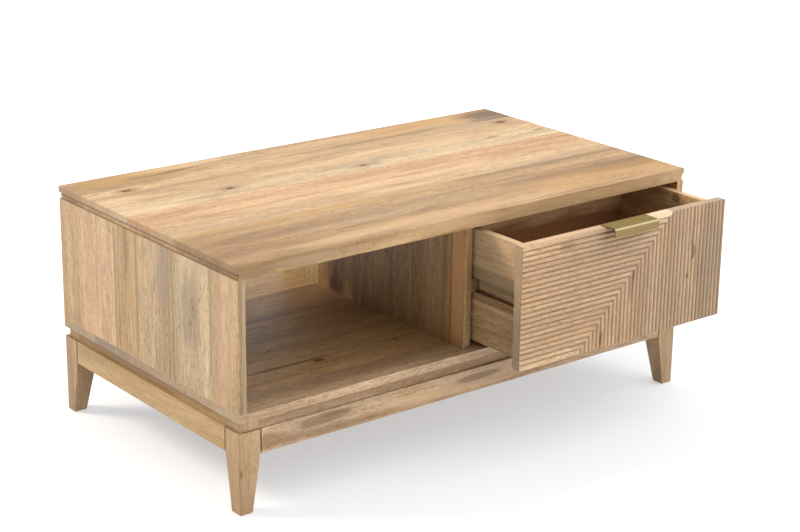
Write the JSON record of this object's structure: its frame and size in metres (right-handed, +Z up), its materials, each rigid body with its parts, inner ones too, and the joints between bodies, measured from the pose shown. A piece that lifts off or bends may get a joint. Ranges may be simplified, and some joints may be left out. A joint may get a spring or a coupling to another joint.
{
  "type": "coffee table",
  "caption": "Low mango-wood coffee table of glued boards on tapered legs, with an open bay beside a drawer whose mitred front has horizontal and vertical ribs.",
  "frame": {"origin": "On the floor, under the middle of the tabletop.", "axes": "+X along the table's length towards the drawer end, +Y from the drawer's front towards the back, +Z up."},
  "size_m": [1.05, 0.754, 0.45],
  "materials": {
    "mango_wood": "sanded and satin lacquered",
    "brass": "satin brushed",
    "steel": "zinc plated"
  },
  "bodies": {
    "table": {"apron_back": "mango_wood", "apron_front": "mango_wood", "apron_left": "mango_wood", "apron_right": "mango_wood", "back_board_1": "mango_wood", "back_board_2": "mango_wood", "back_board_3": "mango_wood", "block_screws": "steel", "corner_block_back_left": "mango_wood", "corner_block_back_right": "mango_wood", "corner_block_front_left": "mango_wood", "corner_block_front_right": "mango_wood", "divider_board_1": "mango_wood", "divider_board_2": "mango_wood", "divider_board_3": "mango_wood", "divider_board_4": "mango_wood", "divider_board_5": "mango_wood", "floor_board_1": "mango_wood", "floor_board_2": "mango_wood", "floor_board_3": "mango_wood", "floor_board_4": "mango_wood", "floor_board_5": "mango_wood", "floor_board_6": "mango_wood", "left_side_board_1": "mango_wood", "left_side_board_2": "mango_wood", "left_side_board_3": "mango_wood", "left_side_board_4": "mango_wood", "left_side_board_5": "mango_wood", "left_side_board_6": "mango_wood", "leg_back_left": "mango_wood", "leg_back_right": "mango_wood", "leg_front_left": "mango_wood", "leg_front_right": "mango_wood", "right_side_board_1": "mango_wood", "right_side_board_2": "mango_wood", "right_side_board_3": "mango_wood", "right_side_board_4": "mango_wood", "right_side_board_5": "mango_wood", "right_side_board_6": "mango_wood", "runner_left": "mango_wood", "runner_right": "mango_wood", "runner_screws": "steel", "top_board_1": "mango_wood", "top_board_2": "mango_wood", "top_board_3": "mango_wood", "top_board_4": "mango_wood", "top_board_5": "mango_wood", "top_board_6": "mango_wood", "top_board_7": "mango_wood"},
    "drawer": {"drawer_back": "mango_wood", "drawer_bottom": "mango_wood", "drawer_front_left": "mango_wood", "drawer_front_right": "mango_wood", "drawer_pull": "brass", "drawer_side_left_lower": "mango_wood", "drawer_side_left_upper": "mango_wood", "drawer_side_right_lower": "mango_wood", "drawer_side_right_upper": "mango_wood", "pull_pins": "brass"}
  },
  "joints": [
    {"name": "drawer_slide", "type": "slide", "parent": "table", "child": "drawer", "axis": [0, -1, 0], "range_m": [-0.131, 0.05]}
  ]
}
